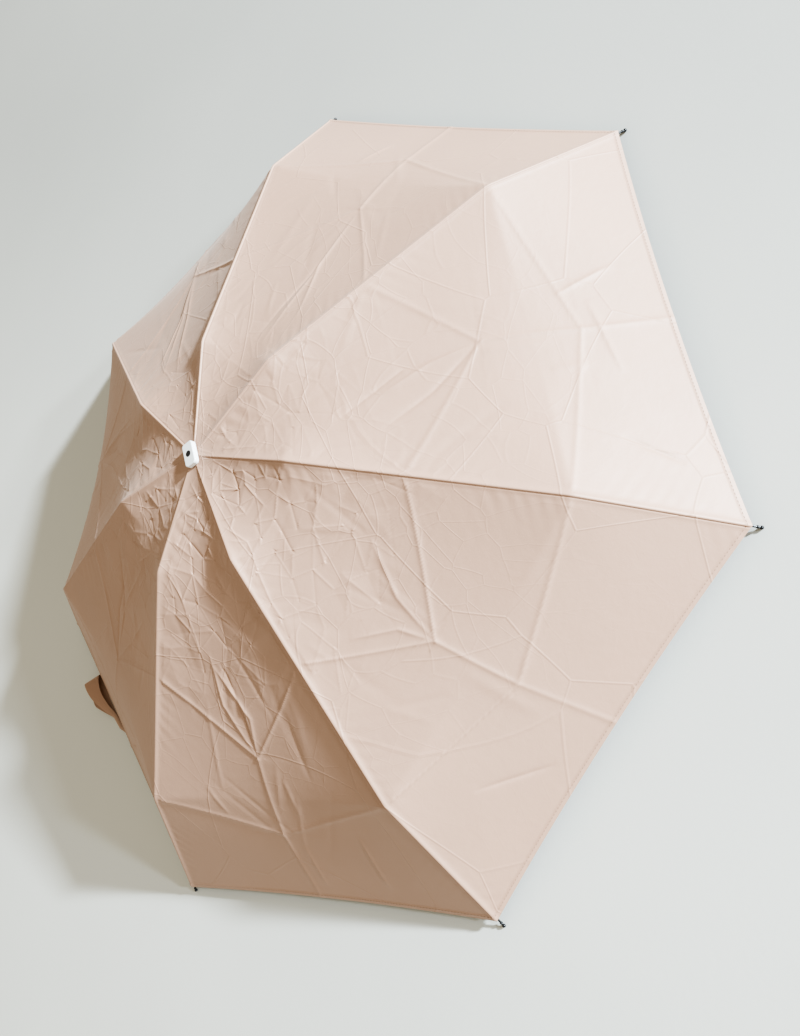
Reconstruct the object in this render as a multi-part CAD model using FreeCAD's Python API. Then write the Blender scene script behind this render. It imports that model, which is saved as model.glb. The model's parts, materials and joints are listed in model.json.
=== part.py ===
"""Folding umbrella: seven five-section ribs, a telescopic shaft and a seven-panel canopy.

The umbrella stands open with its shaft pushed in: the seven rib tips and the base of the
handle share the plane z = 0. The origin is the centre of the handle's base, and +Z runs up
the shaft to the cap. Sizes are in millimetres. Each rib is drawn in the plane y = 0, with
its radius along x, and then turned about the shaft to its own place.
"""

import FreeCAD, Part
import math
import os

# ---- driving dimensions: canopy and ribs --------------------------------------------------
RIBS = 7
FIRST_RIB_DEG = -90.0          # direction of rib 1, seen from above
TIP_RADIUS = 450.0             # from the shaft to the middle of a rib's tip ball
TIP_BALL_R = 1.6               # the tip balls touch the ground
TIP_ROD_R = 0.9
TIP_ROD = 9.0                  # length of the round end of a rib
TIP_ROOT = 1.0                 # the rod starts this far inside the bar
SMALL_BALL_R = 1.35            # the ball that keeps the fabric from slipping off
BALL_GAP = 0.1
HINGE_RADIUS = 11.0            # of the wires that carry the ribs and the stretchers
CROWN_HINGE_Z = 186.0
FIRST_KNEE = (112.5, 182.0)    # radius and height of the hinge between sections 1 and 2
SECOND_KNEE = (338.5, 96.0)    # of the hinge between sections 3 and 4
MIDDLE_SHARE = 0.44            # the middle hinge's place between the two knees
BAR_WIDTH = 3.0
BAR_HEIGHT = 2.6
PIVOT_OFFSET = 1.5             # from a bar's middle to a knee's hinge line
FABRIC_THICKNESS = 0.6
FABRIC_OVER_HINGE = 3.25       # from a knee's hinge line up to the fabric's outer face
CANOPY_CORNER_RADIUS = 445.0   # where the fabric ends on a rib
CANOPY_CORNER_Z = 8.6
CANOPY_HOLE_RADIUS = 6.5
CANOPY_TOP_Z = 190.2
FIRST_KNEE_OUTWARD = 0.3       # the fabric bends this far outside the first knee
SECOND_KNEE_OUTWARD = 1.2      # and this far outside the second

# ---- driving dimensions: hinges ------------------------------------------------------------
KNUCKLE_R = 1.3
PIN_R = 0.6
WIRE_R = 0.5
RUNNING_GAP = 0.08             # radial, pin in hole and tube in tube
CHEEK_IN = 0.6                 # a fork's cheeks lie between these distances from the middle
CHEEK_OUT = 1.5
TONGUE_HALF = 0.5
BAR_BACK = 1.8                 # a full bar starts this far from its hinge line
NECK = 3.4                     # length of a knuckle's neck
WIRE_EYE_R = 1.5
WIRE_EYE_HALF = 0.8
WIRE_EYE_NECK = 4.2
WIRE_EYE_HEIGHT = 2.2          # of the eye's neck
NECK_OVERLAP = 1.0             # a neck runs this far into its bar

# ---- driving dimensions: stretchers and runner ----------------------------------------------
RUNNER_HINGE_Z = 145.0
STRETCHER_POINT = 44.0         # along section 1, from the crown hinge
STRETCHER_HEIGHT = 2.2
YOKE_IN = 1.65                 # a stretcher's yoke straddles the rib with this half gap
YOKE_OUT = 2.4
YOKE_LENGTH = 18.0
YOKE_BLOCK = 3.8               # length of the block that joins a yoke's two arms
YOKE_BLOCK_PAST = 0.8          # of which this much lies past the arms' root
YOKE_EYE_R = 1.4
RUNNER_SLEEVE_R = 8.0
RUNNER_LOW_Z = 118.0
RUNNER_HIGH_Z = 149.0
RUNNER_COLLAR = (9.6, 3.0)     # radius and height of the lip at its lower end
FLANGE_R = 13.5
FLANGE_HALF = 2.5
SLOT_HALF = 1.0
SLOT_DEPTH_GAP = 0.5           # behind an eye in its slot
GROOVE_GAP = 0.04              # round a hinge wire
BUTTON_WIDTH = 4.6
BUTTON_HEIGHT = 9.0
BUTTON_MIDDLE_Z = 130.0
BUTTON_INNER = 7.0
BUTTON_OUTER = 9.8
BUTTON_GAP = 0.15
BUTTON_EDGE_R = 0.8

# ---- driving dimensions: shaft, cap and handle -----------------------------------------------
TUBE_WALL = 0.45
TUBE_1_R = 5.5
TUBE_1_LOW_Z = 52.0
TUBE_1_HIGH_Z = 188.0
TUBE_STEP_Z = 3.0              # each thinner tube shows this much below the wider one
TUBE_LENGTH = 120.0
TUBE_4_LOW_Z = 14.0
CROWN_TOP_Z = 188.5
HUB_LOW_Z = 178.0
HUB_R = 8.0
PLUG_LOW_Z = 176.0             # the hub's plug goes this far down into tube 1
WASHER_R = 12.5
WASHER_HOLE_R = 6.0
WASHER_Z = (188.7, 189.2)
STUD_R = 1.5
STUD_LOW_Z = 179.0
STUD_HIGH_Z = 194.0
CAP_LENGTH = 23.5
CAP_WIDTH = 13.5
CAP_CORNER_R = 3.2
CAP_EDGE_R = 1.1
CAP_COLLAR_R = 5.4
CAP_LOW_Z = 191.2
CAP_HIGH_Z = 196.0
CAP_TURN_DEG = 32.0            # direction of the cap's long side
HANDLE_LENGTH = 52.0
HANDLE_WIDTH = 30.0
HANDLE_HIGH_Z = 38.0
HANDLE_WALL = 2.2
HANDLE_CORNER_R = 9.0
HANDLE_EDGE_R = 3.0
BOSS_WALL = 2.4                # round tube 4, inside the handle
BASE_THICKNESS = 2.5
BASE_EDGE_R = 0.8

# ---- driving dimensions: closing strap ---------------------------------------------------------
STRAP_PANEL = 5                # the strap lies beside the middle of this panel's hem
STRAP_LENGTH = 104.0
STRAP_WIDTH = 22.0
STRAP_LOW_Z = 0.8
STRAP_THICKNESS = 12.0
STRAP_EDGE_R = 1.5
STRAP_NEAR = 402.5             # of its inner edge, from the shaft, square to the hem
STRAP_START = 8.0              # along the hem, from its middle

UP = FreeCAD.Vector(0, 0, 1)
ACROSS = FreeCAD.Vector(0, 1, 0)
CENTRE = FreeCAD.Vector(0, 0, 0)


def rib_direction(number):
    return FIRST_RIB_DEG + (number - 1) * 360.0 / RIBS


def save(name, shape):
    shape = shape.removeSplitter()
    if not shape.isValid() or len(shape.Solids) != 1:
        raise ValueError(f"{name} has {len(shape.Solids)} solids, valid {shape.isValid()}")
    shape.exportStep(f"parts/{name}.step")


def turned(shape, degrees):
    copy = shape.copy()
    copy.rotate(CENTRE, UP, degrees)
    return copy


# ---- points and directions in a rib's plane, as (radius, height) -------------------------------
def along(start, direction, distance, rise=0.0):
    """A point at a distance along a direction, and a rise square to it."""
    dx, dz = direction
    return (start[0] + dx * distance - dz * rise, start[1] + dz * distance + dx * rise)


def direction_between(start, end):
    length = math.dist(start, end)
    return ((end[0] - start[0]) / length, (end[1] - start[1]) / length)


def plate(outline, low_y, high_y):
    """A flat plate with an outline in the rib's plane."""
    points = [FreeCAD.Vector(x, low_y, z) for x, z in outline]
    face = Part.Face(Part.Wire(Part.makePolygon(points + points[:1])))
    return face.extrude(ACROSS * (high_y - low_y))


def bar(start, end, height, low_y, high_y):
    """A straight bar between two points in the rib's plane."""
    way = direction_between(start, end)
    half = height / 2
    outline = [along(start, way, 0, -half), along(end, way, 0, -half)]
    outline += [along(end, way, 0, half), along(start, way, 0, half)]
    return plate(outline, low_y, high_y)


def disc(centre, radius, low_y, high_y):
    base = FreeCAD.Vector(centre[0], low_y, centre[1])
    return Part.makeCylinder(radius, high_y - low_y, base, ACROSS)


# ---- hinge ends. middle is the bar's middle line beside the hinge, way leads out of the bar ----
def fork_end(hinge, middle, way):
    """Two cheeks with a pin between them."""
    shape = disc(hinge, PIN_R, -CHEEK_OUT, CHEEK_OUT)
    for low_y, high_y in ((-CHEEK_OUT, -CHEEK_IN), (CHEEK_IN, CHEEK_OUT)):
        shape = shape.fuse(disc(hinge, KNUCKLE_R, low_y, high_y))
        shape = shape.fuse(bar(along(middle, way, -NECK), middle, BAR_HEIGHT, low_y, high_y))
    return shape


def tongue_end(hinge, middle, way):
    """One eye that fits between a fork's cheeks."""
    shape = disc(hinge, KNUCKLE_R, -TONGUE_HALF, TONGUE_HALF)
    neck = bar(along(middle, way, -NECK), middle, BAR_HEIGHT, -TONGUE_HALF, TONGUE_HALF)
    return shape.fuse(neck).cut(disc(hinge, PIN_R + RUNNING_GAP, -TONGUE_HALF, TONGUE_HALF))


def wire_eye(hinge, way):
    """An eye that hangs on a ring of wire, with its neck along way."""
    shape = disc(hinge, WIRE_EYE_R, -WIRE_EYE_HALF, WIRE_EYE_HALF)
    neck_end = along(hinge, way, WIRE_EYE_NECK + NECK_OVERLAP)
    shape = shape.fuse(bar(hinge, neck_end, WIRE_EYE_HEIGHT, -WIRE_EYE_HALF, WIRE_EYE_HALF))
    return shape.cut(disc(hinge, WIRE_R + RUNNING_GAP, -WIRE_EYE_HALF, WIRE_EYE_HALF))


# ---- the rib's hinge points ------------------------------------------------------------------------
CROWN_HINGE = (HINGE_RADIUS, CROWN_HINGE_Z)
TIP = (TIP_RADIUS, TIP_BALL_R)
KNEE_WAY = direction_between(FIRST_KNEE, SECOND_KNEE)
KNEE_SPAN = math.dist(FIRST_KNEE, SECOND_KNEE)
# The two middle bars run in one line below the knees, and their own hinge is below them.
MIDDLE_HINGE = along(FIRST_KNEE, KNEE_WAY, MIDDLE_SHARE * KNEE_SPAN, -2 * PIVOT_OFFSET)


def bar_middles(start, end, start_side, end_side):
    """The ends of a bar's middle line: a hinge lies above it (1), below it (-1) or on it (0)."""
    way = direction_between(start, end)
    first = along(start, way, 0, -start_side * PIVOT_OFFSET)
    last = along(end, way, 0, -end_side * PIVOT_OFFSET)
    return first, last


def full_bar(first, last, first_gap, last_gap):
    way = direction_between(first, last)
    start = along(first, way, first_gap)
    return bar(start, along(last, way, -last_gap), BAR_HEIGHT, -BAR_WIDTH / 2, BAR_WIDTH / 2)


def inner_section():
    first, last = bar_middles(CROWN_HINGE, FIRST_KNEE, 0, 1)
    way = direction_between(first, last)
    shape = full_bar(first, last, WIRE_EYE_NECK, BAR_BACK)
    shape = shape.fuse(wire_eye(CROWN_HINGE, way))
    return shape.fuse(fork_end(FIRST_KNEE, last, way))


def second_section():
    first, last = bar_middles(FIRST_KNEE, MIDDLE_HINGE, 1, -1)
    way = direction_between(first, last)
    shape = full_bar(first, last, BAR_BACK, BAR_BACK)
    shape = shape.fuse(tongue_end(FIRST_KNEE, first, (-way[0], -way[1])))
    return shape.fuse(fork_end(MIDDLE_HINGE, last, way))


def third_section():
    first, last = bar_middles(MIDDLE_HINGE, SECOND_KNEE, -1, 1)
    way = direction_between(first, last)
    shape = full_bar(first, last, BAR_BACK, BAR_BACK)
    shape = shape.fuse(tongue_end(MIDDLE_HINGE, first, (-way[0], -way[1])))
    return shape.fuse(fork_end(SECOND_KNEE, last, way))


def tip(centre, way):
    """A round rod with a small ball and the end ball, turned about the rod's own line."""
    step = 2 * TIP_BALL_R + BALL_GAP
    small_half = math.sqrt(SMALL_BALL_R ** 2 - TIP_ROD_R ** 2)
    end_half = math.sqrt(TIP_BALL_R ** 2 - TIP_ROD_R ** 2)

    def point(distance, rise):
        x, z = along(centre, way, distance, rise)
        return FreeCAD.Vector(x, 0, z)

    start = point(-TIP_ROD - TIP_ROOT, 0)
    shoulder = point(-TIP_ROD - TIP_ROOT, TIP_ROD_R)
    ball_start = point(-step - small_half, TIP_ROD_R)
    ball_end = point(-step + small_half, TIP_ROD_R)
    end_start = point(-end_half, TIP_ROD_R)
    nose = point(TIP_BALL_R, 0)
    diagonal = TIP_BALL_R / math.sqrt(2)
    edges = [Part.LineSegment(start, shoulder), Part.LineSegment(shoulder, ball_start),
             Part.Arc(ball_start, point(-step, SMALL_BALL_R), ball_end),
             Part.LineSegment(ball_end, end_start),
             Part.Arc(end_start, point(diagonal, diagonal), nose),
             Part.LineSegment(nose, start)]
    face = Part.Face(Part.Wire([e.toShape() for e in edges]))
    return face.revolve(point(0, 0), FreeCAD.Vector(way[0], 0, way[1]), 360)


def outer_section():
    """The last section ends in a round rod with two balls, moulded in one with its tip."""
    first, last = bar_middles(SECOND_KNEE, TIP, 1, 0)
    way = direction_between(first, last)
    shape = full_bar(first, last, BAR_BACK, TIP_ROD)
    shape = shape.fuse(tongue_end(SECOND_KNEE, first, (-way[0], -way[1])))
    return shape.fuse(tip(last, way))


def stretcher():
    """From the runner's wire to a yoke astride the rib's first section."""
    rib_way = direction_between(CROWN_HINGE, FIRST_KNEE)
    end = along(CROWN_HINGE, rib_way, STRETCHER_POINT)
    start = (HINGE_RADIUS, RUNNER_HINGE_Z)
    way = direction_between(start, end)
    half = BAR_WIDTH / 2
    shape = bar(along(start, way, WIRE_EYE_NECK), along(end, way, -YOKE_LENGTH),
                STRETCHER_HEIGHT, -half, half)
    shape = shape.fuse(wire_eye(start, way))
    block_end = along(end, way, -YOKE_LENGTH + YOKE_BLOCK_PAST)
    block_start = along(block_end, way, -YOKE_BLOCK)
    shape = shape.fuse(bar(block_start, block_end, STRETCHER_HEIGHT, -YOKE_OUT, YOKE_OUT))
    for low_y, high_y in ((-YOKE_OUT, -YOKE_IN), (YOKE_IN, YOKE_OUT)):
        shape = shape.fuse(bar(block_start, end, STRETCHER_HEIGHT, low_y, high_y))
        shape = shape.fuse(disc(end, YOKE_EYE_R, low_y, high_y))
    return shape


# ---- canopy: three flat facets a panel, each a thin closed solid -------------------------------------
def fabric_outline():
    """Radius and height of the fabric's outer face along a rib."""
    lift = FABRIC_OVER_HINGE
    first = (FIRST_KNEE[0] + FIRST_KNEE_OUTWARD, FIRST_KNEE[1] + lift)
    second = (SECOND_KNEE[0] + SECOND_KNEE_OUTWARD, SECOND_KNEE[1] + lift)
    corner = (CANOPY_CORNER_RADIUS, CANOPY_CORNER_Z)
    return [(CANOPY_HOLE_RADIUS, CANOPY_TOP_Z), first, second, corner]


def canopy_panel(number):
    """The sheet between two ribs, with a straight hem."""
    outline = fabric_outline()
    faces = []
    rows = []
    for drop in (0.0, FABRIC_THICKNESS):
        for end in (0, 1):
            angle = math.radians(rib_direction(number + end))
            rows.append([FreeCAD.Vector(r * math.cos(angle), r * math.sin(angle), z - drop)
                         for r, z in outline])
    outer_a, outer_b, inner_a, inner_b = rows
    last = len(outline) - 1
    for i in range(last):
        faces.append(closed_face(outer_a[i], outer_a[i + 1], outer_b[i + 1], outer_b[i]))
        faces.append(closed_face(inner_a[i], inner_b[i], inner_b[i + 1], inner_a[i + 1]))
    for i in range(last):
        faces.append(closed_face(outer_a[i], inner_a[i], inner_a[i + 1], outer_a[i + 1]))
        faces.append(closed_face(outer_b[i], outer_b[i + 1], inner_b[i + 1], inner_b[i]))
    for i in (0, last):
        faces.append(closed_face(outer_a[i], outer_b[i], inner_b[i], inner_a[i]))
    solid = Part.makeSolid(Part.makeShell(faces))
    if solid.Volume < 0:
        solid.reverse()
    return solid


def closed_face(*corners):
    return Part.Face(Part.Wire(Part.makePolygon(list(corners) + [corners[0]])))


def closing_strap():
    corner = FreeCAD.Vector(STRAP_NEAR, -STRAP_START - STRAP_LENGTH, STRAP_LOW_Z)
    shape = Part.makeBox(STRAP_WIDTH, STRAP_LENGTH, STRAP_THICKNESS, corner)
    shape = shape.makeFillet(STRAP_EDGE_R, shape.Edges)
    return turned(shape, rib_direction(STRAP_PANEL) + 180.0 / RIBS)


# ---- round pieces on the shaft --------------------------------------------------------------------
def cylinder(radius, low_z, high_z):
    return Part.makeCylinder(radius, high_z - low_z, FreeCAD.Vector(0, 0, low_z))


def ring(outer, inner, low_z, high_z):
    return cylinder(outer, low_z, high_z).cut(cylinder(inner, low_z, high_z))


def hinge_wire(z):
    return Part.makeTorus(HINGE_RADIUS, WIRE_R, FreeCAD.Vector(0, 0, z))


def notched_flange(z, inner):
    """A disc with one radial slot a rib and a groove for its hinge wire."""
    shape = ring(FLANGE_R, inner, z - FLANGE_HALF, z + FLANGE_HALF)
    start = HINGE_RADIUS - WIRE_EYE_R - SLOT_DEPTH_GAP
    slot = Part.makeBox(FLANGE_R, 2 * SLOT_HALF, 4 * FLANGE_HALF,
                        FreeCAD.Vector(start, -SLOT_HALF, z - 2 * FLANGE_HALF))
    for number in range(1, RIBS + 1):
        shape = shape.cut(turned(slot, rib_direction(number)))
    groove = Part.makeTorus(HINGE_RADIUS, WIRE_R + GROOVE_GAP, FreeCAD.Vector(0, 0, z))
    return shape.cut(groove)


def tube(number):
    """Tube 1 is the widest and holds the crown; tube 4 ends in the handle."""
    outer = TUBE_1_R - (number - 1) * (TUBE_WALL + RUNNING_GAP)
    low_z = TUBE_1_LOW_Z - (number - 1) * TUBE_STEP_Z
    high_z = low_z + TUBE_LENGTH
    if number == 1:
        high_z = TUBE_1_HIGH_Z
    if number == 4:
        low_z = TUBE_4_LOW_Z
    return ring(outer, outer - TUBE_WALL, low_z, high_z)


def crown_notch():
    """The hub on top of tube 1: a plug, a collar and the notched flange."""
    flange = notched_flange(CROWN_HINGE_Z, TUBE_1_R)
    shape = flange.fuse(ring(HUB_R, TUBE_1_R, HUB_LOW_Z, TUBE_1_HIGH_Z))
    shape = shape.fuse(cylinder(HUB_R, TUBE_1_HIGH_Z, CROWN_TOP_Z))
    shape = shape.fuse(cylinder(TUBE_1_R - TUBE_WALL, PLUG_LOW_Z, CROWN_TOP_Z))
    return shape.cut(cylinder(STUD_R, STUD_LOW_Z, CROWN_TOP_Z))


def crown_washer():
    return ring(WASHER_R, WASHER_HOLE_R, *WASHER_Z)


def rounded_block(length, width, low_z, high_z, corner_r):
    block = Part.makeBox(length, width, high_z - low_z,
                         FreeCAD.Vector(-length / 2, -width / 2, low_z))
    upright = [e for e in block.Edges if abs(e.tangentAt(e.FirstParameter).z) > 0.9]
    return block.makeFillet(corner_r, upright)


def edges_at(shape, z):
    return [e for e in shape.Edges if all(abs(v.Z - z) < 1e-6 for v in e.Vertexes)]


def top_cap():
    """A flat rounded cap with a collar through the canopy's hole."""
    shape = rounded_block(CAP_LENGTH, CAP_WIDTH, CAP_LOW_Z, CAP_HIGH_Z, CAP_CORNER_R)
    shape = shape.makeFillet(CAP_EDGE_R, edges_at(shape, CAP_HIGH_Z))
    shape = shape.fuse(cylinder(CAP_COLLAR_R, CROWN_TOP_Z + 0.1, CAP_LOW_Z + 0.5))
    return turned(shape.cut(cylinder(STUD_R, CROWN_TOP_Z, STUD_HIGH_Z)), CAP_TURN_DEG)


def button_block(side_gap, inner, outer):
    width = BUTTON_WIDTH + 2 * side_gap
    height = BUTTON_HEIGHT + 2 * side_gap
    return Part.makeBox(width, outer - inner, height,
                        FreeCAD.Vector(-width / 2, inner, BUTTON_MIDDLE_Z - height / 2))


def runner_body():
    """A sleeve that slides on tube 1, with a notched flange and a window for its button."""
    bore = TUBE_1_R + RUNNING_GAP
    shape = ring(RUNNER_SLEEVE_R, bore, RUNNER_LOW_Z, RUNNER_HIGH_Z)
    collar_r, collar_height = RUNNER_COLLAR
    shape = shape.fuse(ring(collar_r, bore, RUNNER_LOW_Z, RUNNER_LOW_Z + collar_height))
    shape = shape.fuse(notched_flange(RUNNER_HINGE_Z, bore))
    return shape.cut(button_block(BUTTON_GAP, bore - 1.0, RUNNER_SLEEVE_R + 1.0))


def runner_button():
    shape = button_block(0.0, BUTTON_INNER, BUTTON_OUTER)
    outer = [e for e in shape.Edges if all(v.Y > BUTTON_OUTER - 1e-6 for v in e.Vertexes)]
    return shape.makeFillet(BUTTON_EDGE_R, outer)


def handle_shell():
    """A flat hollow grip with a boss that holds tube 4."""
    tube_4_r = TUBE_1_R - 3 * (TUBE_WALL + RUNNING_GAP)
    outside = rounded_block(HANDLE_LENGTH, HANDLE_WIDTH, BASE_THICKNESS, HANDLE_HIGH_Z,
                            HANDLE_CORNER_R)
    outside = outside.makeFillet(HANDLE_EDGE_R, edges_at(outside, HANDLE_HIGH_Z))
    inside = rounded_block(HANDLE_LENGTH - 2 * HANDLE_WALL, HANDLE_WIDTH - 2 * HANDLE_WALL,
                           BASE_THICKNESS - 1.0, HANDLE_HIGH_Z - HANDLE_WALL,
                           HANDLE_CORNER_R - HANDLE_WALL)
    shape = outside.cut(inside)
    shape = shape.fuse(cylinder(tube_4_r + BOSS_WALL, TUBE_4_LOW_Z - 2.0, HANDLE_HIGH_Z))
    return shape.cut(cylinder(tube_4_r, TUBE_4_LOW_Z, HANDLE_HIGH_Z))


def handle_base():
    shape = rounded_block(HANDLE_LENGTH, HANDLE_WIDTH, 0.0, BASE_THICKNESS, HANDLE_CORNER_R)
    return shape.makeFillet(BASE_EDGE_R, edges_at(shape, 0.0))


# ---- write every piece ---------------------------------------------------------------------------------
os.makedirs("parts", exist_ok=True)

SECTIONS = {"inner": inner_section(), "second": second_section(), "third": third_section(),
            "outer": outer_section()}
STRETCHER = stretcher()
for rib in range(1, RIBS + 1):
    for section, drawn in SECTIONS.items():
        save(f"rib_{rib}_{section}", turned(drawn, rib_direction(rib)))
    save(f"stretcher_{rib}", turned(STRETCHER, rib_direction(rib)))
    save(f"canopy_panel_{rib}", canopy_panel(rib))

for tube_number in range(1, 5):
    save(f"tube_{tube_number}", tube(tube_number))
save("crown_notch", crown_notch())
save("crown_wire", hinge_wire(CROWN_HINGE_Z))
save("crown_washer", crown_washer())
save("cap_stud", cylinder(STUD_R, STUD_LOW_Z, STUD_HIGH_Z))
save("top_cap", top_cap())
save("closing_strap", closing_strap())
save("runner_body", runner_body())
save("runner_wire", hinge_wire(RUNNER_HINGE_Z))
save("runner_button", runner_button())
save("handle_shell", handle_shell())
save("handle_base", handle_base())
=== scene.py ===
"""Looks of the folding umbrella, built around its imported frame. Metres, row frame.

The canopy is one creased sheet, worked out as a ring of seven panels and then cut into 28
pieces: one strip a rib, and one length of it a rib section, so that each piece can fold
with its own section. Everything else stays CAD, with procedural materials.
"""

import json
import math
import random

import bpy
import numpy as np
from mathutils import Euler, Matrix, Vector, geometry


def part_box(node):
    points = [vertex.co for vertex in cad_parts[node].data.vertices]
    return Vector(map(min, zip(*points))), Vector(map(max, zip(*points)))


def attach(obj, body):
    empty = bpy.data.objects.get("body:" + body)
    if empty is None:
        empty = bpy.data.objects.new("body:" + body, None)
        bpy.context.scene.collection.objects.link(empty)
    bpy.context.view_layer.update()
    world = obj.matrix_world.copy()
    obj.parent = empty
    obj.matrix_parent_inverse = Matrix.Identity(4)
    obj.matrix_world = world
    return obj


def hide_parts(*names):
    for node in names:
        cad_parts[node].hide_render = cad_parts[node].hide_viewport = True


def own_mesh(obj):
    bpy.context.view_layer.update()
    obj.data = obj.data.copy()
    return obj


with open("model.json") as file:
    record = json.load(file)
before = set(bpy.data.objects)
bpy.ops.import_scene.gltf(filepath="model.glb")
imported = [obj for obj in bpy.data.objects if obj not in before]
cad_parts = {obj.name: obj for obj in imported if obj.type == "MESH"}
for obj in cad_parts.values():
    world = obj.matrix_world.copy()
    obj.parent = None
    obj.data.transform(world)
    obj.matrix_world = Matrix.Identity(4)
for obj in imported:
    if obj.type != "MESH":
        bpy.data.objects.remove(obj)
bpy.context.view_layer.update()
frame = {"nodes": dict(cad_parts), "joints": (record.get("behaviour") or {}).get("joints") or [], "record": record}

MM = 0.001
RIBS = 7
SECTIONS = ("inner", "second", "third", "outer")
RECORD = frame["record"]
JOINTS = {joint["name"]: joint for joint in frame["joints"]}


# ---- places read from the frame -----------------------------------------------------------------
def radius_and_height(joint):
    x, y, z = JOINTS[joint]["pos_m"]
    return math.hypot(x, y), z


def rib_angle(rib):
    """Direction of a rib, from 1 to RIBS, in radians."""
    x, y, _ = JOINTS[f"rib_{rib}_first_knee"]["pos_m"]
    return math.atan2(y, x)


FABRIC = 0.6 * MM                      # thickness of the CAD panels
FABRIC_LIFT = 3.25 * MM                # their outer face lies this far above the knees
FIRST_KNEE = radius_and_height("rib_1_first_knee")
MIDDLE_HINGE = radius_and_height("rib_1_middle_hinge")
SECOND_KNEE = radius_and_height("rib_1_second_knee")
PANEL_LOW, PANEL_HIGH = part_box("canopy_panel_1")
HEM_RADIUS = -PANEL_LOW.y              # rib 1 points along -Y
HEM_Z = PANEL_LOW.z + FABRIC
HOLE_RADIUS = 6.5 * MM
KNEE_SHIFTS = (0.3 * MM, 1.2 * MM)     # the cloth's bends lie this far outside the knees
PROFILE = [
    (HOLE_RADIUS, PANEL_HIGH.z),
    (FIRST_KNEE[0] + KNEE_SHIFTS[0], FIRST_KNEE[1] + FABRIC_LIFT),
    (SECOND_KNEE[0] + KNEE_SHIFTS[1], SECOND_KNEE[1] + FABRIC_LIFT),
    (HEM_RADIUS, HEM_Z),
]
PROFILE_STEPS = [math.dist(a, b) for a, b in zip(PROFILE, PROFILE[1:])]
PROFILE_S = np.concatenate([[0], np.cumsum(PROFILE_STEPS)])
KNEE_1_S, KNEE_2_S, HEM_S = (float(s) for s in PROFILE_S[1:])
ABOVE_MIDDLE = math.dist(FIRST_KNEE, MIDDLE_HINGE)
BELOW_MIDDLE = math.dist(MIDDLE_HINGE, SECOND_KNEE)
MIDDLE_S = KNEE_1_S + (KNEE_2_S - KNEE_1_S) * (ABOVE_MIDDLE / (ABOVE_MIDDLE + BELOW_MIDDLE))
HALF_PANEL = math.pi / RIBS            # half the angle between two ribs


# ---- node helpers -------------------------------------------------------------------------------
def new_material(name):
    material = bpy.data.materials.new(name)
    material.use_nodes = True
    return material, material.node_tree, material.node_tree.nodes["Principled BSDF"]


def add_node(tree, kind, **settings):
    made = tree.nodes.new(kind)
    for name, value in settings.items():
        if hasattr(made, name):
            setattr(made, name, value)
        else:
            made.inputs[name.replace("_", " ").title()].default_value = value
    return made


def noise(tree, scale, detail=4.0, roughness=0.5):
    place = add_node(tree, "ShaderNodeTexCoord")
    made = add_node(tree, "ShaderNodeTexNoise", scale=scale, detail=detail, roughness=roughness)
    tree.links.new(place.outputs["Object"], made.inputs["Vector"])
    return made


def ramp(tree, source, low, high, low_at=0.3, high_at=0.7):
    made = add_node(tree, "ShaderNodeValToRGB")
    made.color_ramp.elements[0].position = low_at
    made.color_ramp.elements[0].color = (*low, 1)
    made.color_ramp.elements[1].position = high_at
    made.color_ramp.elements[1].color = (*high, 1)
    tree.links.new(source, made.inputs["Fac"])
    return made.outputs["Color"]


def spread(tree, source, low, high):
    """A value from 0 to 1, spread between two others."""
    made = add_node(tree, "ShaderNodeMapRange")
    made.inputs["To Min"].default_value = low
    made.inputs["To Max"].default_value = high
    tree.links.new(source, made.inputs["Value"])
    return made.outputs["Result"]


def bump(tree, shader, height, strength, distance, before=None):
    made = add_node(tree, "ShaderNodeBump")
    made.inputs["Strength"].default_value = strength
    made.inputs["Distance"].default_value = distance
    tree.links.new(height, made.inputs["Height"])
    if before:
        tree.links.new(before, made.inputs["Normal"])
    tree.links.new(made.outputs["Normal"], shader.inputs["Normal"])
    return made.outputs["Normal"]


def creases(tree, cells, width, wander, near, far, far_level):
    """Sharp ridges between random cells, 1 on a ridge. They fade out away from the crown."""
    place = add_node(tree, "ShaderNodeTexCoord")
    bend = noise(tree, 0.3 * cells, detail=0.0)
    moved = add_node(tree, "ShaderNodeVectorMath", operation="MULTIPLY_ADD")
    tree.links.new(bend.outputs["Color"], moved.inputs[0])
    moved.inputs[1].default_value = (wander, wander, wander)
    tree.links.new(place.outputs["Object"], moved.inputs[2])
    net = add_node(tree, "ShaderNodeTexVoronoi", feature="DISTANCE_TO_EDGE", scale=cells)
    tree.links.new(moved.outputs["Vector"], net.inputs["Vector"])
    ridge = add_node(tree, "ShaderNodeMapRange", from_max=width * cells, to_min=1.0, to_max=0.0)
    tree.links.new(net.outputs["Distance"], ridge.inputs["Value"])
    reach = add_node(tree, "ShaderNodeVectorMath", operation="LENGTH")
    tree.links.new(place.outputs["Object"], reach.inputs[0])
    fade = add_node(tree, "ShaderNodeMapRange", from_min=near, from_max=far,
                    to_min=1.0, to_max=far_level)
    tree.links.new(reach.outputs["Value"], fade.inputs["Value"])
    product = add_node(tree, "ShaderNodeMath", operation="MULTIPLY")
    tree.links.new(ridge.outputs["Result"], product.inputs[0])
    tree.links.new(fade.outputs["Result"], product.inputs[1])
    return product.outputs["Value"]


def shade(colour, factor):
    return tuple(min(1.0, c * factor) for c in colour)


# ---- materials ----------------------------------------------------------------------------------
ROSE = (0.495, 0.315, 0.225)


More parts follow.
